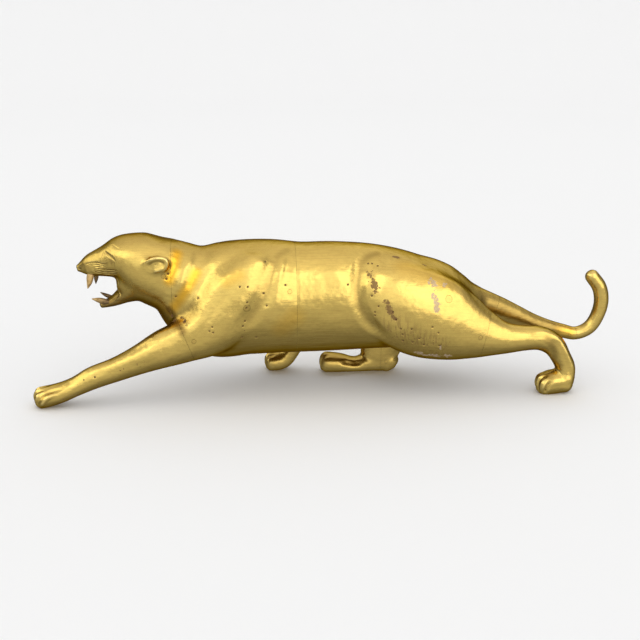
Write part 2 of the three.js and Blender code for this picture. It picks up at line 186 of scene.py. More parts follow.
# %% The legs, the feet and the tail
SHOULDER_AND_ARM = [
    (-30, -12.5, 66, 9.5, 6), (-37, -14, 55, 14, 9), (-46, -14.5, 43, 15.4, 10.5),
    (-56, -15, 34.8, 13.6, 10),
]
LEFT_FRONT_LEG = SHOULDER_AND_ARM + [
    (-66, -16.5, 30.4, 11.2, 8.4), (-77, -18, 26.6, 9.5, 7.4), (-88, -19, 22, 7.3, 6.6),
    (-100, -19.5, 17.2, 5.9, 6), (-110, -20, 13.8, 5.5, 5.9), (-119, -20, 9.5, 4.7, 5.8),
    (-127, -20, 6.3, 4.9, 6.4), (-135.4, -20, 4.3, 5.3, 6.6),
]
RIGHT_FRONT_LEG = mirrored(SHOULDER_AND_ARM[:3]) + [
    (-38, 19, 33, 9, 7.5), (-26, 22.5, 27, 7, 6), (-14.5, 24, 23.5, 5.5, 5.2), (-10.5, 24.5, 17, 4.6, 4.8),
    (-13, 25, 10.5, 4.3, 5), (-18, 25.5, 5.3, 5, 6), (-24, 25.5, 4.2, 4.9, 6.4),
]
HAUNCH = [
    (22.5, -14, 53.5, 13, 7.5), (32, -13.6, 48.5, 19, 11), (44, -13.4, 42.4, 22, 13),
    (57, -13.6, 37.4, 21.4, 13), (69, -14.8, 33, 17.4, 11.6),
]
LEFT_HIND_LEG = HAUNCH + [
    (80, -16.6, 29.8, 12.2, 9.2), (90, -18.4, 28.1, 8, 7.2), (99, -19.4, 28.2, 6.3, 6),
    (106.5, -20, 28.2, 6, 5.6), (113.2, -20, 25, 5.7, 5.2), (117.8, -20, 18.4, 4.9, 4.9),
    (120.5, -20, 12.5, 4.9, 4.9), (120.4, -20, 6.8, 5, 5.4),
]
LEFT_HIND_PAW = [(121, -20, 4.3, 4.7, 5.4), (116, -20, 5.4, 6.3, 6), (109.8, -20, 4.4, 5.7, 6.4)]
RIGHT_HIND_LEG = [
    (52, 13.5, 44, 16, 10), (45, 17, 33, 13.5, 9.5), (37.8, 20, 23, 11.2, 8), (33.6, 20.5, 13.5, 10.8, 7.2),
    (33, 20.5, 8.4, 10, 6.8),
]
RIGHT_HIND_FOOT = [
    (38, 20.5, 5.6, 6.2, 6.4), (29, 20.5, 5, 5.6, 6.2), (20, 20.5, 3.4, 3.8, 6), (12, 20.5, 4.4, 4.9, 6.4),
    (5, 20.5, 5, 5.4, 6.6),
]
TAIL = [
    (76, 0, 43.8, 7.4, 8), (88, 0, 39.2, 6.2, 5.6), (98.5, 0, 34.4, 5.5, 4.8), (107, 0, 30.7, 4.7, 4.4),
    (115.5, 0, 27.8, 4, 4), (124, 0, 25.5, 3.6, 3.6), (131, 0, 24, 3.4, 3.4), (137.8, 0, 26.7, 3.5, 3.4),
    (142.1, 0, 33.8, 3.55, 3.5), (143.4, 0, 41.3, 3.7, 3.6), (141.9, 0, 48, 3.7, 3.6),
    (137.5, 0, 54, 3.55, 3.5),
]
print("the left front leg has", len(LEFT_FRONT_LEG), "stations, the tail", len(TAIL))

# %% [markdown]
# ## One skin
#
# Fusing the masses with booleans would leave knife edges between the muscles. A voxel remesh
# melts them into one even skin instead, trimmed just under the soles. The small tools that
# every later cell uses are made here too.

# %% Fuse and smooth
SKIN_STEP = 0.49
SOLE_DEPTH = -0.6
THIN, THICK, LEAST_ROLL = 9.0, 24.0, 0.06


def new_piece(name, bm):
    """A linked object that holds the bmesh, which is freed."""
    mesh = bpy.data.meshes.new(name)
    bm.to_mesh(mesh)
    bm.free()
    piece = bpy.data.objects.new(name, mesh)
    bpy.context.scene.collection.objects.link(piece)
    return piece


def closed_piece(name, bm):
    """A linked object whose faces all look outwards."""
    bmesh.ops.recalc_face_normals(bm, faces=bm.faces)
    return new_piece(name, bm)


@contextmanager
def editing(piece):
    """The piece's mesh as a bmesh, written back afterwards."""
    bm = bmesh.new()
    bm.from_mesh(piece.data)
    yield bm
    bm.to_mesh(piece.data)
    bm.free()


def settle(piece):
    """Applies the piece's modifiers for good."""
    graph = bpy.context.evaluated_depsgraph_get()
    made = bpy.data.meshes.new_from_object(piece.evaluated_get(graph), depsgraph=graph)
    worn = piece.data
    piece.modifiers.clear()
    piece.data = made
    bpy.data.meshes.remove(worn)


def relax(piece, passes, group=""):
    """Smooths the piece for good, as strongly as a vertex group says."""
    smooth = piece.modifiers.new("Relax", "SMOOTH")
    smooth.factor = 0.5
    smooth.iterations = passes
    smooth.vertex_group = group
    settle(piece)


def skin_of(piece):
    """The piece's vertices and normals as arrays."""
    mesh = piece.data
    places = np.empty(len(mesh.vertices) * 3, np.float32)
    mesh.vertices.foreach_get("co", places)
    normals = np.empty(len(mesh.vertices) * 3, np.float32)
    mesh.vertex_normals.foreach_get("vector", normals)
    return places.reshape(-1, 3).astype(float), normals.reshape(-1, 3).astype(float)


def put_skin(piece, places):
    """Moves the piece's vertices."""
    piece.data.vertices.foreach_set("co", places.astype(np.float32).ravel())
    piece.data.update()


def surface_of(piece):
    """A search tree over the piece's faces."""
    bm = bmesh.new()
    bm.from_mesh(piece.data)
    tree = BVHTree.FromBMesh(bm)
    bm.free()
    return tree


def keep(piece, name, values):
    """Stores one number for each vertex, for the materials to read."""
    piece.data.attributes.new(name, "FLOAT", "POINT").data.foreach_set("value", values.astype(np.float32))


clay = bmesh.new()
loft(clay, TRUNK, blunt=(0.42, 0.6))
loft(clay, NECK_AND_SKULL, blunt=(0.2, 0.8))
loft(clay, LOWER_JAW, blunt=(0.3, 0.9))
loft(clay, CHEEKS, blunt=(0.3, 0.5))
for feature in (EAR, mirrored(EAR), WHISKER_PAD, mirrored(WHISKER_PAD)):
    loft(clay, feature)
for leg in (LEFT_FRONT_LEG, RIGHT_FRONT_LEG, LEFT_HIND_LEG, mirrored(HAUNCH), RIGHT_HIND_LEG):
    loft(clay, leg)
for paw in (LEFT_HIND_PAW, RIGHT_HIND_FOOT):
    loft(clay, paw)
loft(clay, TAIL, blunt=(0.5, 0.9))
trimmed = bmesh.ops.bisect_plane(
    clay, geom=clay.verts[:] + clay.edges[:] + clay.faces[:],
    plane_co=(0, 0, SOLE_DEPTH), plane_no=(0, 0, -1), clear_outer=True,
)
bmesh.ops.holes_fill(clay, edges=[e for e in trimmed["geom_cut"] if isinstance(e, bmesh.types.BMEdge)])
cat = closed_piece("cat", clay)
fuse = cat.modifiers.new("Fuse", "REMESH")
fuse.mode = "VOXEL"
fuse.voxel_size = SKIN_STEP
settle(cat)
print("fused skin:", len(cat.data.vertices), "vertices")

# %% [markdown]
# ## Soft hollows
#
# Fused masses meet in sharp creases, which a polished casting never has. A bevel would need
# clean edges, so the whole skin is relaxed, less where the metal is thin. The thickness is
# measured by looking from each point through the metal to the other side.

# %% Roll the creases
places, normals = skin_of(cat)
tree = surface_of(cat)
group = cat.vertex_groups.new(name="thick")
for i, (place, normal) in enumerate(zip(places, normals)):
    inward = -Vector(normal)
    far = tree.ray_cast(Vector(place) + inward * 0.5, inward)[3]
    weight = 1.0 if far is None else min(1.0, max(LEAST_ROLL, (far - THIN) / (THICK - THIN)))
    group.add([i], weight, "REPLACE")
ROLLS = round(24 / SKIN_STEP ** 2)
relax(cat, ROLLS, "thick")
relax(cat, 3)
print("rolled over in", ROLLS, "passes")

# %% [markdown]
# ## Sculpting with files and punches
#
# The muscles and folds were modelled in wax and chased in the brass. Here a stroke is a line
# drawn on the side view that presses a groove or raises a ridge along the normals. Fine chasing
# needs a finer mesh, so the muzzle and the ears are subdivided first.

# %% Refine the face
MUZZLE_X, THROAT_Z = -94, 40
EAR_FRONT, EAR_BACK, EAR_Y, EAR_Z = -88, -68, 8, 59


def is_fine(face):
    """Whether a face lies on the muzzle or round an ear."""
    x, y, z = face.calc_center_median()
    return x < MUZZLE_X and z > THROAT_Z or EAR_FRONT < x < EAR_BACK and abs(y) > EAR_Y and z > EAR_Z


with editing(cat) as bm:
    fine = dict.fromkeys(edge for face in bm.faces if is_fine(face) for edge in face.edges)
    bmesh.ops.subdivide_edges(bm, edges=list(fine), cuts=1, use_grid_fill=True, smooth=0.5)
relax(cat, 2)
print("skin to sculpt:", len(cat.data.vertices), "vertices")

# %% [markdown]
# ## The stroke
#
# A displacement map could hold the same lines, but a list of points says where a muscle begins
# and ends, and it works equally on the skin and, later, for painting.

# %% The stroke
LEFT, RIGHT = -1, 1
OUTSIDE, FLANK = 60, 12
PITCH = 0.4
places, normals = skin_of(cat)
tree = surface_of(cat)


def dropped(points, side, step):
    """A smooth line through the points, on the skin. A point of two numbers is seen from the side."""
    route = []
    for point in points:
        if len(point) == 2:
            start = Vector((point[0], side * OUTSIDE, point[1]))
            hit = tree.ray_cast(start, Vector((0, -side, 0)))[0]
            if hit is None:
                hit = tree.find_nearest(Vector((point[0], side * FLANK, point[1])))[0]
        else:
            hit = tree.find_nearest(Vector(point))[0]
        route.append(hit[:] + (0, 0))
    if len(route) == 1:
        return np.array(route)[:, :3]
    line = sections(route, step)[:, :3]
    line = np.array([tree.find_nearest(Vector(place))[0][:] for place in line])
    line[1:-1] = (line[:-2] + 2 * line[1:-1] + line[2:]) / 4
    return line


def bell(line, taper, width, where):
    """How strongly a stroke is felt at each place, from 0 to 1."""
    felt = np.zeros(len(where))
    low, high = line.min(0) - width, line.max(0) + width
    near = np.flatnonzero(((where > low) & (where < high)).all(1))
    if not len(near):
        return felt
    spots = where[near]
    best = np.zeros(len(near))
    starts = line if len(line) == 1 else line[:-1]
    for i, start in enumerate(starts):
        step = line[min(i + 1, len(line) - 1)] - start
        share = np.clip((spots - start) @ step / max(step @ step, 1e-9), 0, 1)
        away = np.linalg.norm(spots - start - share[:, None] * step, axis=1) / width
        weight = taper[i] + share * (taper[min(i + 1, len(line) - 1)] - taper[i])
        best = np.maximum(best, np.clip(1 - away ** 2, 0, 1) ** 2 * weight)
    felt[near] = best
    return felt


def stroke(points, width, height, side=LEFT, fade=(0.25, 0.25)):
    """Raises the skin by height along a line, or presses it where height is negative."""
    line = dropped(points, side, width * PITCH)
    along = np.linspace(0, 1, len(line))
    taper = np.ones(len(line))
    if len(line) > 1:
        for share, end in ((fade[0], along), (fade[1], 1 - along)):
            if share:
                taper = np.minimum(taper, np.clip(end / share, 0, 1))
    taper = taper * taper * (3 - 2 * taper)
    felt = bell(line, taper, width, places)
    places[:] = places + normals * (felt * height)[:, None]


def flipped(points):
    """Points on the other flank. A point of two numbers is good for either."""
    return [p if len(p) == 2 else (p[0], -p[1], p[2]) for p in points]


def both(points, width, height, **how):
    """The same stroke on both flanks."""
    stroke(points, width, height, side=LEFT, **how)
    stroke(flipped(points), width, height, side=RIGHT, **how)


def freshen():
    """Normals and the search tree follow what has been sculpted so far."""
    global normals, tree
    moved = np.linalg.norm(places - skin_of(cat)[0], axis=1)
    print("moved", int((moved > 0.01).sum()), "points, at most", round(float(moved.max()), 2), "mm")
    put_skin(cat, places)
    normals = skin_of(cat)[1]
    tree = surface_of(cat)


def polish(centre, reach, passes):
    """Rubs the skin smooth inside a soft ellipsoid, on both flanks."""
    global places, normals, tree
    put_skin(cat, places)
    soft = cat.vertex_groups.new(name="polish")
    away = np.linalg.norm((places * (1, 0, 1) + np.abs(places) * (0, 1, 0) - centre) / reach, axis=1)
    felt = np.clip(1.5 * (1 - away), 0, 1)
    for i in np.flatnonzero(felt > 0.01):
        soft.add([int(i)], float(felt[i]), "REPLACE")
    relax(cat, passes, "polish")
    cat.vertex_groups.remove(cat.vertex_groups["polish"])
    places, normals = skin_of(cat)
    tree = surface_of(cat)


print("strokes are ready")

# %% [markdown]
# ## Where the polisher leaned hardest
#
# The back, the rump and the front of the shoulders carry no crease on the real figure. They are
# rubbed inside soft ellipsoids, so the rest keeps its shape, and wide low strokes then give back
# the height that rubbing took from the top line.

# %% Rub the creases between the masses away
RUB_PASSES = round(70 / SKIN_STEP ** 2)
polish((52, 9, 62), (42, 14, 15), RUB_PASSES)
polish((80, 3, 46), (14, 12, 9), RUB_PASSES // 2)
stroke([(56, 0, 64), (66, 0, 58), (74, 0, 52)], 14, 1.9)
freshen()
polish((67, 7, 55), (20, 15, 13), RUB_PASSES // 2)
polish((54, 7, 64), (16, 13, 8), RUB_PASSES // 2)
polish((-99, 7, 70), (8, 8, 6), RUB_PASSES // 8)
polish((-36, 8, 74), (26, 14, 13), RUB_PASSES)
polish((-57, 0, 73), (12, 16, 8), RUB_PASSES // 2)
polish((-52, 19, 54), (22, 13, 24), RUB_PASSES)
polish((-62, 16, 41), (19, 14, 15), RUB_PASSES)
polish((-84, 10, 50), (16, 10, 9), RUB_PASSES // 2)
stroke([(-80, 0, 80), (-72, 0, 77)], 10, -0.9)
stroke([(-64, 0, 74), (-55, 0, 73)], 12, 1.0)
stroke([(-92, 0, 46), (-84, 0, 44), (-79, 0, 42)], 7, 0.6)
freshen()

# %% [markdown]
# ## Neck, shoulder and ribs
#
# Slanting folds run behind the ear and down the neck, a broad muscle rises from the foreleg to
# the shoulder blade, and a low ridge beside a valley marks the waist. All of them are wide
# strokes of about a millimetre, because polished metal shows even a slope of a few degrees.

# %% Muscles of the neck, the shoulder and the ribs
both([(-68.5, 36.9), (-64.5, 42.8), (-59.4, 53.5), (-53.5, 62.2), (-46.8, 66.9), (-40.1, 70.7)], 7, -0.9)
both([(-74, 31), (-66, 37.5), (-59, 47), (-51, 57), (-42, 65), (-34, 69)], 7.5, 1.0)
both([(-66.8, 74), (-69.4, 68), (-71.6, 61), (-73, 53), (-73, 46)], 6, -0.9, fade=(0.3, 0.5))
both([(-62.5, 73), (-66, 64.2), (-69.3, 56.4), (-70.9, 49.6)], 4.5, 0.6, fade=(0.4, 0.4))
both([(-60.1, 66), (-64.1, 56.3), (-69, 49.5), (-72, 44.7)], 5, -0.6, fade=(0.4, 0.3))
both([(-18, 79), (-21.4, 72), (-23.8, 66.3), (-26.3, 58), (-32.1, 46.9), (-38, 40.1),
     (-46.7, 33.3)], 6, -0.9, fade=(0.45, 0.3))
both([(-29, 70), (-33, 60), (-39, 50)], 9, 0.6)
both([(-17, 78), (-19.4, 68.1), (-21.8, 60.4), (-25, 53.6)], 3.2, 0.6, fade=(0.45, 0.4))
both([(-13.9, 77), (-15.8, 68.1), (-17.6, 60.3), (-19.7, 53.5)], 3.2, -0.2, fade=(0.5, 0.4))
both([(-12.5, 77), (-12.5, 66), (-12.5, 49.6), (-12.5, 28)], 1.6, -0.14, fade=(0.1, 0.1))
freshen()

# %% [markdown]
# ## Haunches
#
# A long valley curves from the loin round the front of the thigh. The thigh itself leans back
# at the top, and a crease parts it from the root of the tail.

# %% Haunches
both([(32, 78), (25.7, 74.3), (20, 68.6), (16.8, 60.9), (16.2, 54), (18.5, 44.1), (24.4, 35.9),
     (33, 28.7)], 4.8, -1.2, fade=(0.4, 0.2))
both([(31, 70), (24, 61.8), (22.6, 52), (25.3, 43), (30, 36)], 6, 0.6, fade=(0.4, 0.4))
both([(9, 72), (8, 60), (9, 48)], 9, 0.5, fade=(0.5, 0.5))
both([(24, 61), (44, 60), (62, 53)], 14, -1.2, fade=(0.35, 0.35))
both([(66, 56), (72, 50.5), (79, 43.5), (87, 37)], 3.6, -0.5, fade=(0.5, 0.2))
freshen()

# %% [markdown]
# ## Ears
#
# The ear is laid flat against the skull: a thin rolled rim at the top and the back, a shallow
# bowl, and a small crescent at the bottom. Its front runs into the cheek without an edge.

# %% Ears
both([(-85.6, -16, 68), (-82.6, -17.5, 70.2), (-80.2, -18, 71.4), (-75.8, -18, 72), (-73.2, -18, 71.2),
      (-71.9, -18, 69.4), (-72, -18, 67.6), (-73.2, -18, 65.6), (-75.6, -18, 63.6)], 1.7, 0.75,
      fade=(0.3, 0.35))
both([(-81.6, -19, 67.4), (-76.2, -19, 68.6)], 4, -0.9, fade=(0, 0))
both([(-80.4, -18, 64.3), (-78.1, -18, 64.7), (-76.1, -18, 65.8), (-75, -18, 67.2)], 1.3, 0.3)
both([(-79, -18, 68)], 1.3, -0.3)
freshen()

# %% [markdown]
# ## The face
#
# The lip has a fine raised edge. The eyes are not modelled on the real head, they are only a
# patch of slanting scratches. The whiskers are wavy lines cut with a graver. Modelling them as
# real grooves makes them catch the light as the nose turns.

# %% Lips, scratched eyes and whiskers
both([(-113.3, 60.8), (-110.3, 61.2), (-106.9, 61.4), (-103.6, 61.3), (-100.9, 60.8), (-98.6, 59),
     (-97.8, 57), (-98.6, 54), (-100.6, 51.6), (-103.9, 48.4)], 0.9, 0.22, fade=(0.1, 0.1))
both([(-96.5, 52.5), (-98.8, 49.6), (-102.5, 46.9), (-106, 45.3)], 0.8, -0.25)
for lean in (-1.6, -0.8, 0.0, 0.8, 1.6):
    both([(-101.6 + lean, 72.2 - lean * 0.5), (-99.4 + lean, 69.2 - lean * 0.5)], 0.5, -0.18)
for drop in (0.0, 1.1, 2.1):
    both([(-106, 63.6 - drop), (-101, 63.9 - drop), (-97.2, 63.7 - drop)], 0.55, -0.3)
for row in range(6):
    drop = row * 1.0
    both([(-113.6 + row * 0.7, 65.4 - drop * 0.5), (-110.8 + row * 0.3, 66.6 - drop * 0.7),
         (-107.4, 67.2 - drop),
          (-103.8, 66.7 - drop * 0.8), (-100.4 - row * 0.3, 68.6 - drop)], 0.55, -0.28)
for row in range(4):
    both([(-107 + row * 3.6, 73 + row * 1.3), (-103 + row * 3.6, 71.9 + row * 1.0)], 0.5, -0.07)
stroke([(-118, 0, 65), (-113, 0, 70.5), (-106, 0, 74.5)], 0.8, -0.18)
both([(-116.6, -1.5, 63.2), (-115, -2.6, 63.6)], 0.7, -0.35)
stroke([(-117.6, 0, 62.4), (-114.5, 0, 60.4), (-110, 0, 60.4)], 0.8, -0.4)
freshen()

# %% [markdown]
# ## Toes and joints
#
# Grooves over the front of each paw part the toes. Low ridges mark the hock, the shin and the
# top of the arm, where a file left a flat and the wheel rounded it.

# %% Toes, hocks and elbows
for y in (-23.8, -20, -16.2):
    stroke([(-141.6, y, 2), (-140.2, y, 7), (-136.5, y, 10), (-130, y, 10.4)], 1.8, -1.2, fade=(0, 0.6))
    stroke([(103.4, y, 1), (104.4, y, 6.5), (107.5, y, 9.8), (112, y, 11)], 1.8, -1.1, fade=(0, 0.6))
for y in (21.9, 25.5, 29.1):
    stroke([(-30, y, 1.5), (-29.5, y, 6.5), (-26, y, 9.2), (-21.5, y, 9.6)], 1.6, -1.0, fade=(0, 0.5))
for y in (16.9, 20.5, 24.1):
    stroke([(-1.6, y, 1.5), (-0.8, y, 7), (3, y, 9.9), (7.5, y, 9.8)], 1.6, -1.0, fade=(0, 0.5))
stroke([(-137, 1.5), (-136, 5), (-133, 8), (-127, 9.6), (-122, 11.6)], 1.7, -0.8, fade=(0.1, 0.5))
stroke([(-134.6, 2), (-133.4, 4.6), (-130.6, 6.8), (-125.6, 7.8)], 1.6, 0.6, fade=(0.1, 0.5))
stroke([(-126, -22, 11), (-112, -22, 17.6), (-98, -23, 21.6), (-84, -24, 26.6), (-72, -24, 31)], 4.5, 0.5)
stroke([(109.4, 1), (109.8, 4.5), (111.8, 8)], 1.6, -0.9)
stroke([(107.6, 31.5), (114.5, -24, 28.5), (119.3, -23, 20), (122.2, -22.5, 12),
       (122.5, -22.5, 8)], 2.6, 0.8)
stroke([(110, -23.5, 27), (113.6, -25, 20), (115.4, -25, 12)], 3.2, -0.4)
stroke([(100, 32.5), (110, 32), (117, 27)], 3, 0.5)
stroke([(122, -22, 7), (116, -25, 7.5), (110, -25.6, 6.5)], 3, 0.4)
for x, z in ((40, 5), (42.6, 9.5), (36.4, 4)):
    stroke([(x, 14, z), (x, 20, z + 0.5), (x, 26, z)], 2.4, 0.5)
stroke([(24, 14.6, 6), (18, 14.6, 5.4), (12, 14.4, 7)], 2.4, -0.6)
freshen()

# %% [markdown]
# ## Casting pits
#
# Gas in the melt leaves small round holes on the surface. They sit in clusters, so their places
# are listed one by one and not scattered. Each is a shallow dimple here, and the same list
# paints its dark floor later.

# %% Casting pits
PITS = [
    (-39.6, 57.8), (-35.9, 57.7), (-28.4, 54.1), (-36.2, 50.4), (-36.6, 47.6), (-27.1, 48.3),
    (-37.5, 40.9), (-38.5, 38.4), (-39.1, 32.4), (-32.2, 31.9), (-27.2, 68.3), (-18, 57.7), (-109, 15.7),
    (-73.2, 63), (-74.1, 60.6), (-70, 52), (-66, 41), (-59.5, 51.5), (-53, 39), (-54.4, 37), (-52.6, 36.2),
    (11.8, 57.2), (22.1, 66), (24, 66), (26.6, 65), (23, 52), (24.6, 44), (24.7, 42.3), (26.2, 47),
    (33, 44.5), (34.6, 40.6), (37, 36), (38, 33), (38.4, 29.5), (42, 36), (43, 29), (46, 31), (48.5, 27.5),
    (52, 37), (55, 34), (56, 27),
]
for spot in PITS:
    stroke([spot], 1.0, -0.16)
freshen()
print("pits:", len(PITS))

# %% [markdown]
# ## Hollows keep dirt and painted shade
#
# A cloth polishes the ridges and never reaches the bottom of a groove, and the material also
# darkens the hollows as painted shade. How far each vertex lies below the mean of its neighbours
# tells ridges from grooves, so that number is kept on the skin as an attribute, blurred a little,
# for the material to read later.

# %% Keep the hollows as an attribute
BLUR_PASSES = 6
ends = np.empty(len(cat.data.edges) * 2, np.int32)
cat.data.edges.foreach_get("vertices", ends)
ends = ends.reshape(-1, 2)
around = np.bincount(ends.ravel(), minlength=len(places)).astype(float)


def mean_of_neighbours(values):
    """For each vertex, the mean over the vertices that share an edge with it."""
    total = np.bincount(ends[:, 0], values[ends[:, 1]], len(values))
    return (total + np.bincount(ends[:, 1], values[ends[:, 0]], len(values))) / around


sunk = sum((mean_of_neighbours(places[:, k]) - places[:, k]) * normals[:, k] for k in range(3))
length = np.linalg.norm(places[ends[:, 0]] - places[ends[:, 1]], axis=1)
pitch = sum(np.bincount(ends[:, k], length, len(places)) for k in (0, 1)) / around
hollow = sunk / pitch ** 2
for turn in range(BLUR_PASSES):
    hollow = 0.5 * hollow + 0.5 * mean_of_neighbours(hollow)
keep(cat, "hollow", hollow)
print("hollows from", hollow.min().round(2), "to", hollow.max().round(2), "per mm")

# %% [markdown]
# ## Sawing the castings apart
#
# The skin is cut where the real castings meet: limbs with a slightly fatter copy of their own
# loft, the body square across at the neck and the waist. Every cut leaves a hairline gap, and
# every piece is closed again.

# %% Saws
HAIR = 0.09
PAW_GROW = 1.6
castings = {}


def twin(piece, name):
    """A second, independent copy of a piece."""
    other = bpy.data.objects.new(name, piece.data.copy())
    bpy.context.scene.collection.objects.link(other)
    return other


def saw(piece, tool, how="DIFFERENCE"):
    """Cuts the piece with a tool."""
    cut = piece.modifiers.new("Saw", "BOOLEAN")
    cut.operation = how
    cut.solver = "MANIFOLD"
    cut.object = tool
    settle(piece)


def scrap(*tools):
    """Throws tools away."""
    for tool in tools:
        mesh = tool.data
        bpy.data.objects.remove(tool)
        bpy.data.meshes.remove(mesh)


def keep_largest(piece):
    """Drops the chips that a cut leaves loose, and says how many."""
    with editing(piece) as bm:
        unseen, islands = dict.fromkeys(bm.verts), []
        while unseen:
            island = [unseen.popitem()[0]]
            for vert in island:
                for edge in vert.link_edges:
                    other = edge.other_vert(vert)
                    if other in unseen:
                        del unseen[other]
                        island.append(other)
            islands.append(island)
        islands.sort(key=len)
        for chip in islands[:-1]:
            bmesh.ops.delete(bm, geom=chip, context="VERTS")
    return len(islands) - 1


def split_at(piece, name, point, facing):
    """The part of a piece on the side of a plane that facing points to, closed with a flat face."""
    bm = bmesh.new()
    bm.from_mesh(piece.data)
    sawn = bmesh.ops.bisect_plane(
        bm, geom=bm.verts[:] + bm.edges[:] + bm.faces[:], plane_co=point, plane_no=facing, clear_inner=True,
    )
    bmesh.ops.holes_fill(bm, edges=[e for e in sawn["geom_cut"] if isinstance(e, bmesh.types.BMEdge)])
    return closed_piece(name, bm)


def slug(stations, start, grow, hair, paw=None):
    """The solid that holds a limb and its paw, from the seam outwards, wider by a hair."""
    bm = bmesh.new()
    loft(bm, stations, (0, 0.8), (grow[0] + hair, grow[1] + hair), start=start, lead=hair)
    if paw:
        loft(bm, paw, grow=PAW_GROW + hair)
    return closed_piece("slug", bm)


def block(low, high):
    """A square block between two corners."""
    low, high = Vector(low), Vector(high)
    place = Matrix.Translation((low + high) / 2) @ Matrix.Diagonal((*(high - low), 1))
    bm = bmesh.new()
    bmesh.ops.create_cube(bm, size=1, matrix=place)
    return new_piece("block", bm)


def part_off(name, source, tool_for):
    """Saws a new casting out of its source. tool_for(hair) is the solid that holds it."""
    castings[name] = twin(source, name)
    for piece, hair, how in ((castings[name], 0.0, "INTERSECT"), (source, HAIR, "DIFFERENCE")):
        tool = tool_for(hair)
        saw(piece, tool, how)
        scrap(tool)
        print(name, "chips after", how.lower() + ":", keep_largest(piece))


print("a hairline is", HAIR, "mm")

# %% [markdown]
# ## Sawing the limbs and the tail off
#
# Each limb is cut where its tenon shoulder sits. A plane would also slice through the body
# behind it, so a slug of the limb's own shape takes it out of the skin and the cut wraps it. A
# ring seam shows round the far hind foot, and the tail changes casting low on its curl.

# %% The limbs, the far hind foot and the tail tip come off
whole = split_at(cat, "whole", (0, 0, 0), (0, 0, 1))
scrap(cat)
LIMBS = {
    "left_front_leg": (LEFT_FRONT_LEG, 4, (0.9, 3.0), None),
    "right_front_leg": (RIGHT_FRONT_LEG, 4, (0.9, 1.6), None),
    "left_hind_leg": (LEFT_HIND_LEG, 5, (0.9, 2.4), LEFT_HIND_PAW),
    "right_hind_leg": (RIGHT_HIND_LEG, 1, (0.9, 1.6), RIGHT_HIND_FOOT),
    "tail_root": (TAIL, 1, (0.7, 1.5), None),
}
for name, (stations, start, grow, paw) in LIMBS.items():
    part_off(name, whole, lambda hair: slug(stations, start, grow, hair, paw))
FOOT_SEAM_X, FOOT_TOP = 32.9, 17.0
FOOT_CORNER, FOOT_OUTSIDE = (-15, 5, -5), 40
part_off("right_hind_foot", castings["right_hind_leg"],
         lambda hair: block(FOOT_CORNER, (FOOT_SEAM_X + hair, FOOT_OUTSIDE, FOOT_TOP + hair)))
part_off("tail_tip", castings["tail_root"], lambda hair: slug(TAIL, 6, (1.5, 1.5), hair))

# %% [markdown]
# ## The head and the two halves of the body
#
# Two flat cuts part the head from the neck and the front from the rear. A flat cut is what a
# founder would make, because the lip joints inside need a level face.

# %% The head, the front and the rear
head_side, tail_side = (-1, 0, 0), (1, 0, 0)
castings["head_casting"] = split_at(whole, "head", (NECK_SEAM - HAIR / 2, 0, 0), head_side)
behind = split_at(whole, "behind", (NECK_SEAM + HAIR / 2, 0, 0), tail_side)
castings["front_body_casting"] = split_at(behind, "front", (WAIST_SEAM - HAIR / 2, 0, 0), head_side)
castings["rear_body_casting"] = split_at(behind, "rear", (WAIST_SEAM + HAIR / 2, 0, 0), tail_side)
scrap(whole, behind)
for name, piece in castings.items():
    print(name, len(piece.data.vertices), "vertices")

# %% [markdown]
# ## Pins and plugs
#
# Each joint is locked by a pin, filed flush. A plain cylinder would stand out of the round
# flanks, so its head is a set of rings dropped onto the skin, proud by a breath, in a hairline
# hole from a boolean.

# %% Drive the pins
PROUD = 0.03
SHANK = 2.6
BAR_SIDES = 40
RING_SHARES = [1.0, 0.97, 0.8, 0.55, 0.25]
ACROSS_LEFT, ACROSS_RIGHT, UP = Vector((0, -1, 0)), Vector((0, 1, 0)), Vector((0, 0, 1))
PINS = {}
for side, outward in (("left", ACROSS_LEFT), ("right", ACROSS_RIGHT)):
    PINS["neck_pin_" + side] = outward, "head_casting"
    PINS["waist_pin_" + side] = outward, "front_body_casting"
    for half, leg in (("front", "front"), ("rear", "hind")):
        PINS[f"{half}_core_plug_{side}"] = outward, half + "_body_casting"
        PINS[f"{side}_{leg}_leg_pin"] = outward, half + "_body_casting"
PINS["right_hind_foot_pin"] = ACROSS_LEFT, "right_hind_leg"
PINS["tail_root_pin"] = UP, "rear_body_casting"
PINS["tail_pin"] = ACROSS_LEFT, "tail_root"
TO_DRAWING = TO_FRAME.inverted()


def pin(name, outward, host):
    """A pin whose head follows its host's skin, the place on the skin and the pin's radius."""
    low, high = (TO_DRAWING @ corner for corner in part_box(name))
    middle = (low + high) / 2
    radius = max(high[k] - low[k] for k in range(3) if not outward[k]) / 2
    skin = surface_of(castings[host])
    hit = skin.ray_cast(middle + outward * OUTSIDE, -outward)[0]
    one = Vector((1, 0, 0))
    other = outward.cross(one)
    bm = bmesh.new()
    before = None
    for share, drop in [(1.0, -SHANK)] + [(share, PROUD * (1 - share ** 4)) for share in RING_SHARES]:
        made = bmesh.ops.create_circle(bm, segments=BAR_SIDES, radius=1)["verts"]
        for k, vert in enumerate(made):
            angle = math.tau * k / BAR_SIDES
            spot = hit + (one * math.cos(angle) + other * math.sin(angle)) * radius * share
            if drop > -SHANK:
                spot = skin.ray_cast(spot + outward * OUTSIDE / 2, -outward)[0] or spot
            vert.co = spot + outward * drop
        before = add_ring(bm, made, before)
    bmesh.ops.edgeloop_fill(bm, edges=before)
    return closed_piece("driven_" + name, bm), hit, radius


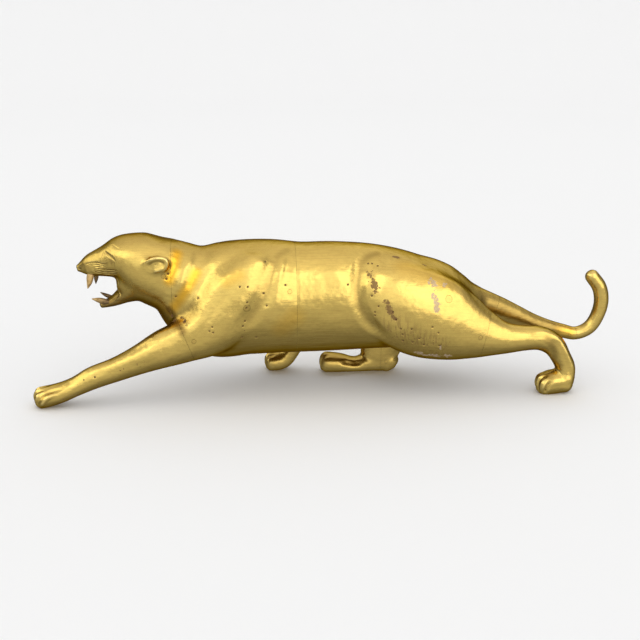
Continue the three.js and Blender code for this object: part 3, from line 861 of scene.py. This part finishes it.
fittings, holes = {}, {}
for name, (outward, host) in PINS.items():
    fittings[name], hit, radius = pin(name, outward, host)
    holes.setdefault(host, []).append((hit, outward, radius + HAIR))
for host, bores in holes.items():
    bm = bmesh.new()
    for hit, outward, radius in bores:
        turn = Matrix.Translation(hit) @ outward.to_track_quat("Z", "Y").to_matrix().to_4x4()
        bmesh.ops.create_cone(
            bm, cap_ends=True, segments=BAR_SIDES, radius1=radius, radius2=radius,
            depth=2 * (SHANK + HAIR), matrix=turn,
        )
    drill = new_piece("drill", bm)
    saw(castings[host], drill)
    scrap(drill)
print(len(fittings), "pins and plugs driven")

# %% [markdown]
# ## Canines
#
# The four canines are let into the jaws and are of a duller metal. A cone would look turned on
# a lathe, so each is a small loft with a thick middle and a blunt point, as if cut by hand.

# %% Cut the teeth
TOOTH_ENDS, TOOTH_SIDES, TOOTH_STEP = (0.3, 1.2), 24, 0.35
TEETH = {
    "upper_left_canine": [
        (-110.6, -3.6, 63, 1.2, 1.2), (-111.2, -3.8, 60, 1.7, 1.4), (-111.9, -4, 56.4, 1.25, 1.1),
        (-112.7, -4, 54, 0.35, 0.35),
    ],
    "upper_right_canine": [
        (-108.6, 3.2, 63, 1, 1), (-109.1, 3.3, 60, 1.2, 1.1), (-109.6, 3.4, 56.4, 0.95, 0.9),
        (-109.8, 3.4, 54.4, 0.3, 0.3),
    ],
    "lower_left_canine": [
        (-101.6, -3, 45.9, 1, 1), (-104.6, -3.4, 46.6, 1.5, 1.2), (-107.8, -3.7, 47.6, 1.3, 1.1),
        (-110.9, -4, 48.4, 0.3, 0.3),
    ],
    "lower_right_canine": [
        (-100.8, 2.6, 46.6, 0.9, 0.9), (-103.4, 2.8, 47.6, 1, 1), (-105.8, 3, 48.6, 0.8, 0.8),
        (-107.6, 3.2, 49.6, 0.3, 0.3),
    ],
}
for name, stations in TEETH.items():
    bm = bmesh.new()
    loft(bm, stations, TOOTH_ENDS, sides=TOOTH_SIDES, step=TOOTH_STEP)
    fittings[name] = closed_piece("cut_" + name, bm)
print("teeth:", len(TEETH))

# %% [markdown]
# ## Old polish
#
# The metal is one alloy, but it has lived: a cloth has dragged fine marks along it and hollows
# have kept a brown film. That brown is also painted shade, in the hollows, on the undersides and
# on the far flank, and an amber painted reflection lies behind the ears. Broad changes come from
# noise on Object coordinates. What sits in one place is painted with soft strokes.

# %% Small helpers for shaders
def is_socket(value):
    return isinstance(value, bpy.types.NodeSocket)


def feed(made, inputs):
    """Sets a node's inputs, each to a value or to another node's output."""
    for key, value in inputs.items():
        if is_socket(value):
            made.id_data.links.new(value, made.inputs[key])
        else:
            made.inputs[key].default_value = value


def node(tree, kind, inputs=None, **settings):
    """A new node with its settings and its inputs."""
    made = tree.nodes.new(kind)
    for key, value in settings.items():
        setattr(made, key, value)
    feed(made, inputs or {})
    return made


def wired(kind, inputs, **settings):
    """A new node in the same tree as the outputs that feed it."""
    tree = next(value.id_data for value in inputs.values() if is_socket(value))
    return node(tree, kind, inputs, **settings)


def maths(operation, a, b=0.0, c=0.0):
    return wired("ShaderNodeMath", {0: a, 1: b, 2: c}, operation=operation).outputs[0]


def times(a, b):
    return maths("MULTIPLY", a, b)


def most(a, b):
    return maths("MAXIMUM", a, b)


def ramp(a, slope, start):
    """a times slope, plus start."""
    return maths("MULTIPLY_ADD", a, slope, start)


def ease(value, start, end):
    """0 before start, 1 after end, and a smooth step between them."""
    limits = {"Value": value, "From Min": start, "From Max": end}
    return wired("ShaderNodeMapRange", limits, interpolation_type="SMOOTHSTEP").outputs["Result"]


def blend(share, first, second, kind="MIX"):
    """One colour over another. Each is an output or three numbers."""
    first, second = (colour if is_socket(colour) else (*colour, 1) for colour in (first, second))
    mixed = {0: share, 6: first, 7: second}
    return wired("ShaderNodeMix", mixed, data_type="RGBA", blend_type=kind).outputs[2]


def noise(where, scale, detail=3.0, stretch=(1, 1, 1), turn=(0, 0, 0)):
    mapped = wired("ShaderNodeMapping", {"Vector": where, "Scale": stretch, "Rotation": turn})
    grain = {"Vector": mapped.outputs[0], "Scale": scale, "Detail": detail, "Roughness": 0.55}
    return wired("ShaderNodeTexNoise", grain).outputs["Fac"]


def bump(height, strength, distance, **under):
    dents = {"Height": height, "Strength": strength, "Distance": distance, **under}
    return wired("ShaderNodeBump", dents).outputs[0]


def blank(name):
    """A new material, its shader, its Object coordinates and a way to read what is painted."""
    made = bpy.data.materials.new(name)
    made.use_nodes = True
    tree = made.node_tree

    def painted(kind):
        return node(tree, "ShaderNodeAttribute", attribute_name=kind).outputs["Fac"]

    where = node(tree, "ShaderNodeTexCoord").outputs["Object"]
    return made, tree.nodes["Principled BSDF"], where, painted


print("shader helpers are ready")

# %% [markdown]
# ## Cast brass
#
# A plain yellow metal looks like plastic under a soft sky. Worn brass needs layers: olive
# drifts, brown film that is partly tarnish and partly painted shade, a painted amber reflection,
# bright rubbed ridges, cloth marks in the gloss, pinholes and painted stains. One material holds
# them all, so castings match across a seam.

# %% The brass of the castings
# The dark brown film colour is painted shade as well as tarnish, and the amber is a painted reflection.
GOLD, OLIVE, SHADE_AND_FILM = (0.82, 0.595, 0.165), (0.66, 0.485, 0.13), (0.19, 0.115, 0.035)
REFLECTED_AMBER, BROWN, BLOOM = (0.93, 0.50, 0.03), (0.17, 0.085, 0.045), (0.50, 0.40, 0.34)
WARM, CLOTH, RUBBED = (0.66, 0.43, 0.12), (0.5, 0.34, 0.1), (0.93, 0.76, 0.34)
SCORED, PINHOLE, EDGE = (0.40, 0.24, 0.1), (0.12, 0.06, 0.03), (0.5, 0.33, 0.12, 1)


def blotches(where, scale, share):
    """Ragged spots that grow together where the share is high."""
    drift = wired("ShaderNodeTexNoise", {"Vector": where, "Scale": scale * 1.7, "Detail": 2.0})
    push = wired("ShaderNodeVectorMath", {0: drift.outputs["Color"], 3: 0.9 / scale}, operation="SCALE")
    spot = wired("ShaderNodeVectorMath", {0: where, 1: push.outputs[0]}, operation="ADD")
    cells = wired("ShaderNodeTexVoronoi", {"Vector": spot.outputs[0], "Scale": scale}, feature="F1")
    chance = wired("ShaderNodeSeparateColor", {0: cells.outputs["Color"]})
    reach = most(times(maths("SUBTRACT", share, chance.outputs[0]), 0.8), 0.001)
    return ease(cells.outputs["Distance"], reach, times(reach, 0.55))


def metal(name, gold=GOLD, gloss=0.2):
    """Polished metal with brown film that is partly painted shade, a painted amber reflection, pinholes and
    cloth marks.
    """
    made, shader, where, painted = blank(name)
    tone = ease(noise(where, 45), 0.35, 0.7)
    mottle = ease(noise(where, 420, 4), 0.42, 0.68)
    along = noise(where, 1300, 4, stretch=(0.05, 1, 1), turn=(0, 0.1, 0.06))
    upright = noise(where, 1100, 4, stretch=(1, 1, 0.06), turn=(0, 0.3, 0))
    hollow = painted("hollow")
    # The film mask is painted shade from the painted strokes, the undersides and the far flank; in the
    # hollows it is both tarnish and painted shade.
    shade_and_film = times(most(painted("shade_and_film"), ease(hollow, 0.03, 0.26)), ramp(along, 0.5, 0.65))
    shade_and_film = maths("MINIMUM", shade_and_film, 0.92)
    lines = times(painted("scratch"), ease(upright, 0.5, 0.6))
    pinhole = blotches(where, 420, ramp(painted("pitted"), 0.34, 0.10))
    pinhole = most(pinhole, ease(painted("pit"), 0.3, 0.62))
    brown = times(blotches(where, 620, painted("stain")), 0.8)
    bloom = times(blotches(where, 680, painted("bloom")), 0.65)
    colour = gold
    # Among these layers the amber is a painted reflection.
    for share, layer in (
        (times(tone, 0.5), OLIVE), (times(mottle, 0.22), WARM),
        (times(ease(along, 0.48, 0.66), 0.16), CLOTH), (times(ease(hollow, -0.06, -0.3), 0.45), RUBBED),
        (times(painted("reflected_amber"), 0.9), REFLECTED_AMBER), (shade_and_film, SHADE_AND_FILM), (times(lines, 0.45), SCORED),
        (brown, BROWN), (bloom, BLOOM), (times(pinhole, 0.85), PINHOLE),
    ):
        colour = blend(share, colour, layer)
    dull = most(brown, most(bloom, pinhole))
    rough = ramp(shade_and_film, 0.16, ramp(tone, 0.06, ramp(along, 0.16, gloss - 0.08)))
    height = ramp(lines, -0.9, ramp(along, 0.55, times(mottle, 0.25)))
    height = ramp(most(brown, bloom), -0.8, ramp(pinhole, -2.0, height))
    wobble = bump(noise(where, 120, 2), 0.7, 0.0007)
    feed(shader, {
        "Base Color": colour,
        "Metallic": maths("SUBTRACT", 1.0, times(dull, 0.7)),
        "Roughness": ramp(most(dull, times(lines, 0.5)), 0.3, rough),
        "Specular Tint": EDGE,
        "Normal": bump(height, 0.6, 0.0001, Normal=wobble),
    })
    return made


cast_brass = metal("cast brass, polished")
pin_brass = metal("drawn brass, filed flush", gold=(0.77, 0.54, 0.15), gloss=0.24)
print("cast brass:", len(cast_brass.node_tree.nodes), "nodes")

# %% [markdown]
# ## Teeth
#
# The teeth were cast apart in a duller bronze and never polished. A plain matt brown would look
# like plastic, so grime sits between the grains. Painted shade on the far ones makes them nearly black.

# %% The duller bronze of the teeth
TOOTH, GRIME, SHADED = (0.82, 0.56, 0.23), (0.45, 0.27, 0.1), (0.07, 0.04, 0.02)
tooth_bronze, shader, where, painted = blank("tooth bronze, matt")
grime = ease(noise(where, 700, 4), 0.45, 0.7)
# The film attribute darkens the far teeth as painted shade.
feed(shader, {
    "Base Color": blend(painted("shade_and_film"), blend(grime, TOOTH, GRIME), SHADED),
    "Metallic": 0.55,
    "Roughness": ramp(grime, 0.2, 0.42),
    "Normal": bump(noise(where, 1600, 3), 0.4, 0.0001),
})
print("teeth:", len(tooth_bronze.node_tree.nodes), "nodes")

# %% [markdown]
# ## Marks with a place
#
# A painted amber reflection lies behind the ears and in the neck folds, painted shade darkens the
# throat, the valleys, the top of the head and the far feet, brown stains run down the front of the
# thigh, grey bloom sits on its middle. A texture picture would be the usual way. Strokes on the
# drawing do it without one, and stay sharp at this size.

# %% Paint what sits in one place
BOTH_FLANKS = {
    # The amber strokes are a painted reflection, strongest in the neck folds and behind the ears.
    "reflected_amber": [
        ([(-69, 71.5), (-70.6, 66), (-72.8, 60)], 4.4, 1.0),
        ([(-60.1, 63), (-64.1, 56.3), (-69, 49.5), (-72, 45)], 4.2, 0.9),
        ([(-80, 47), (-74, 43.5), (-69, 39.5)], 4.5, 0.55), ([(127, 25.5), (121, 26)], 5, 0.6),
        ([(40, 64), (60, 57)], 9, 0.25),
    ],
    "stain": [
        ([(-73.5, 44), (-71.5, 40)], 3, 1.3),
    ],
    # The film strokes are painted shade: under the throat and jaw, at the eye, in the valleys, behind the
    # hock, under the tail and along the back.
    "shade_and_film": [
        ([(-101.3, 71.6), (-99.6, 68.4)], 2.6, 0.35),
        ([(-104, -3, 44), (-94, -6, 46.5), (-84, -9, 45), (-78, -9, 42), (-73, -9, 37)], 10, 1.0),
        ([(-98, 51), (-94, 49.5), (-88, 50.5)], 4, 0.5), ([(-73.5, 45), (-71, 40.5), (-67, 37)], 4, 0.9),
        ([(27.5, 75), (21, 68), (17, 60.9), (16.4, 54), (18.6, 45), (24.4, 37)], 3.2, 0.45),
        ([(-16, 76), (-21.4, 70), (-24.8, 62), (-29, 52), (-36, 42)], 3, 0.3),
        ([(-66, -8, 48), (-60, -18, 42)], 5, 0.3),
        ([(109, 29), (112.5, 24), (114, 16), (112, 9)], 3.2, 0.55),
        ([(80, -6, 44), (95, -5, 36.5), (108, -5, 30.5), (118, -4, 27)], 7.5, 0.7),
        ([(34, 78), (50, 72), (62, 64)], 7, 0.22),
    ],
    "scratch": [
        ([(34, 37), (42, 31), (54, 27)], 11, 1.0), ([(-104, 70), (-99, 68)], 4, 0.8),
    ],
    "pitted": [
        ([(24, 62), (30, 48), (40, 32), (54, 26)], 9, 0.8),
        ([(-40, 58), (-37, 48), (-38, 36), (-30, 32)], 9, 0.55),
        ([(-74, 60), (-72, 46), (-66, 40)], 7, 0.6), ([(-128, 9), (-108, 16), (-90, 22)], 7, 0.5),
        ([(10, 60), (6, 46)], 10, 0.25),
    ],
}
NEAR_FLANK = {
    # The amber strokes here are a painted reflection too.
    "reflected_amber": [
        ([(-40, 63), (-46, 60)], 5, 0.35), ([(-20, 36), (-14, 42)], 8, 0.35),
    ],
    "stain": [
        ([(22.5, 62), (23.4, 58.5), (25, 54.5)], 3.3, 1.8),
        ([(29.8, 49), (31.6, 45.5), (33.8, 41)], 3.0, 2.0), ([(35.5, 72.5), (40, 72.3)], 1.7, 1.6),
        ([(50.5, 69.2), (53, 68.4)], 1.5, 1.5), ([(-67, 42.4), (-65, 40)], 2.0, 1.4),
        ([(-118, 12), (-106, 16.4), (-94, 20), (-86, 23)], 3, 0.45),
        ([(-126, 4), (-116, 8), (-108, 11)], 3, 0.6), ([(48, -4, 19), (62, -6, 19)], 6, 0.6),
    ],
    # The film strokes here are painted shade on the top of the head and neck, on the tail's curl and along
    # the near foreleg.
    "shade_and_film": [
        ([(-112, 0, 71), (-96, 0, 79), (-80, 0, 80), (-62, 0, 75), (-50, 0, 75)], 15, 0.4),
        ([(140, 3, 27), (145.5, 0, 36), (145.5, 0, 46)], 3, 0.35),
        ([(134, 0, 29), (138.5, 0, 36), (140, 0, 44)], 3.4, 0.7),
        ([(-62, -22, 24), (-90, -22, 16.5), (-120, -22, 5)], 4, 0.6),
        ([(-60, -14, 46), (-80, -18, 36), (-100, -20, 24), (-118, -20, 15)], 4.5, 0.5),
    ],
    "bloom": [
        ([(51.6, 58.2), (53.4, 56.2)], 3.4, 2.0), ([(58.6, 56.1)], 2.6, 2.0),
        ([(52.6, 52), (53.4, 48.6), (54.4, 44.6)], 3.0, 1.9),
        ([(46, 22.6), (54, 20.8), (62, 21)], 2.6, 1.8), ([(56.5, 27), (57.5, 24)], 1.8, 1.1),
    ],
    "pit": [([spot], 0.9, 1.0) for spot in PITS],
}
KINDS = ("reflected_amber", "shade_and_film", "stain", "bloom", "scratch", "pitted", "pit")
strokes = []
for kind in KINDS:
    paired = BOTH_FLANKS.get(kind, [])
    for points, width, strength in paired + NEAR_FLANK.get(kind, []):
        strokes.append((kind, dropped(points, LEFT, width * PITCH), width, strength))
    for points, width, strength in paired:
        strokes.append((kind, dropped(flipped(points), RIGHT, width * PITCH), width, strength))


def paint(piece):
    """Writes the marks that reach this piece as point attributes."""
    spots, facing = skin_of(piece)
    # Painted shade: darker where the skin faces down, and on every far-flank piece, darkest on the far
    # canines.
    painted_shade = np.clip((-facing[:, 2] - 0.1) / 0.75, 0, 1) * 0.75
    if "right" in piece.name:
        painted_shade = np.maximum(painted_shade, 0.8 if "canine" in piece.name else 0.36)
    for kind in KINDS:
        felt = np.zeros(len(spots))
        for name, line, width, strength in strokes:
            if name == kind:
                felt = np.maximum(felt, strength * bell(line, np.ones(len(line)), width, spots))
        if kind == "shade_and_film":
            felt = np.maximum(felt, painted_shade)
        keep(piece, kind, felt)


print(len(strokes), "painted strokes")

# %% [markdown]
# ## Hand over
#
# Each piece takes the place of its solid in the frame. Edges as sharp as a saw cut stay crisp.
# Millimetres become metres in the mesh itself, so that no piece carries a transform.

# %% Hand every piece over to the frame
SHARP = math.radians(50)
for name, piece in {**castings, **fittings}.items():
    with editing(piece) as bm:
        bm.normal_update()
        for face in bm.faces:
            face.smooth = True
        for edge in bm.edges:
            edge.smooth = edge.calc_face_angle(0) < SHARP
    if name in castings:
        piece.name = "polished_" + name
        finish, material = "cast_brass", cast_brass
    elif name in TEETH:
        finish, material = "tooth_bronze", tooth_bronze
    else:
        finish, material = "pin_brass", pin_brass
    paint(piece)
    piece.data.transform(TO_FRAME)
    piece.data.materials.clear()
    piece.data.materials.append(material)
    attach(piece, "root")
    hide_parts(name)
print("pieces:", len(castings) + len(fittings))

# %% [markdown]
# ## The dish
#
# The floor is a wide shallow dish with a rising edge, so no horizon line shows from any side. A
# flat plane would end in a line. Spinning one profile is the shortest way to make it.

# %% The dish
DISH_RADIUS, DISH_CURVE, DISH_STEPS, DISH_TURNS = 1.6, 0.9, 12, 96
dish = bmesh.new()
rim = [dish.verts.new((0, 0, 0)), dish.verts.new((DISH_RADIUS, 0, 0))]
for i in range(1, DISH_STEPS + 1):
    angle = math.pi / 2 * i / DISH_STEPS
    along = DISH_RADIUS + DISH_CURVE * math.sin(angle)
    rim.append(dish.verts.new((along, 0, DISH_CURVE * (1 - math.cos(angle)))))
profile = [dish.edges.new(pair) for pair in zip(rim, rim[1:])]
bmesh.ops.spin(
    dish, geom=rim + profile, cent=(0, 0, 0), axis=(0, 0, 1), angle=math.tau, steps=DISH_TURNS,
    use_merge=True,
)
bmesh.ops.remove_doubles(dish, verts=dish.verts, dist=1e-5)
bmesh.ops.recalc_face_normals(dish, faces=dish.faces)
if sum(face.normal.z for face in dish.faces) < 0:
    bmesh.ops.reverse_faces(dish, faces=dish.faces)
floor = new_piece("studio_floor", dish)
floor.data.shade_smooth()
floor.visible_glossy = False
pale, shader, where, painted = blank("pale studio floor")
feed(shader, {"Base Color": (0.9, 0.9, 0.9, 1), "Roughness": 0.9, "Specular IOR Level": 0.1})
floor.data.materials.append(pale)
print("floor dish:", len(floor.data.polygons), "faces")

# %% [markdown]
# ## The room
#
# Polished metal is a picture of its surroundings. Lamps would light it, but they show as small
# hot spots. The room is drawn in the world shader instead: two tall windows, a paler ceiling and
# a dim floor, which only reflections see. Everything else gets an even white sky.

# %% The room that the metal reflects
SKY_STRENGTH = 1.05
world = bpy.data.worlds.new("studio")
bpy.context.scene.world = world
world.use_nodes = True
room = world.node_tree
room.nodes.clear()
ray = node(room, "ShaderNodeSeparateXYZ", {0: node(room, "ShaderNodeTexCoord").outputs["Generated"]})
east, north, height = ray.outputs
azimuth = maths("DEGREES", maths("ARCTAN2", east, times(north, -1.0)))
elevation = maths("DEGREES", maths("ARCSINE", height))


def pane(left, right, low, high, soft):
    """A lit rectangle of the room, in degrees from the front and above the horizon."""
    across = times(ease(azimuth, left - soft, left + soft), ease(azimuth, right + soft, right - soft))
    upright = times(ease(elevation, low - soft, low + soft), ease(elevation, high + soft, high - soft))
    return times(across, upright)


shade = node(room, "ShaderNodeRGB").outputs[0]
shade.default_value = (0.17, 0.17, 0.18, 1)
for mask, colour in (
    (ease(elevation, 5, 75), (0.66, 0.61, 0.56)),
    (ease(height, 0.3, -0.9), (0.15, 0.15, 0.13)),
    (times(ease(north, 0.2, -0.9), ease(elevation, -80, 0)), (0.45, 0.44, 0.41)),
    (pane(6, 60, -4, 50, 5), (1.22, 1.15, 1.04)),
    (pane(-120, -34, 18, 46, 5), (1.15, 1.13, 0.95)),
    (pane(-36, 8, 2, 48, 7), (0.5, 0.5, 0.46)),
    (pane(125, 178, 20, 55, 12), (0.35, 0.36, 0.4)),
    (pane(-178, -140, 20, 55, 12), (0.25, 0.24, 0.22)),
):
    shade = blend(mask, shade, colour, "ADD")
reflected = node(room, "ShaderNodeBackground", {"Color": shade, "Strength": 1.0})
sky = node(room, "ShaderNodeBackground", {"Color": (1, 1, 1, 1), "Strength": SKY_STRENGTH})
glossy = node(room, "ShaderNodeLightPath").outputs["Is Glossy Ray"]
chosen = node(room, "ShaderNodeMixShader", {0: glossy, 1: sky.outputs[0], 2: reflected.outputs[0]})
node(room, "ShaderNodeOutputWorld", {0: chosen.outputs[0]})
print("the room has", len(room.nodes), "nodes")

# %% [markdown]
# ## The camera
#
# It looks at the near flank from a little in front and above. A short lens would swell the
# nearer paws, so a long one is used and the figure shows nearly in profile.

# %% The camera
AZIMUTH, ELEVATION, DISTANCE = math.radians(-4.5), math.radians(16.5), 0.52
AIM_HEIGHT, LENS = 34, 58.5
back = Vector((
    math.sin(AZIMUTH) * math.cos(ELEVATION),
    -math.cos(AZIMUTH) * math.cos(ELEVATION),
    math.sin(ELEVATION),
))
target = TO_FRAME @ Vector((0, 0, AIM_HEIGHT))
lens = bpy.data.cameras.new("camera")
lens.sensor_width = 36
lens.lens = LENS
camera = bpy.data.objects.new("camera", lens)
camera.location = target + back * DISTANCE
camera.rotation_euler = back.to_track_quat("Z", "Y").to_euler()
bpy.context.scene.collection.objects.link(camera)
bpy.context.scene.camera = camera
bpy.context.scene.view_settings.view_transform = "Standard"
print("the camera stands at", tuple(round(v, 3) for v in camera.location))
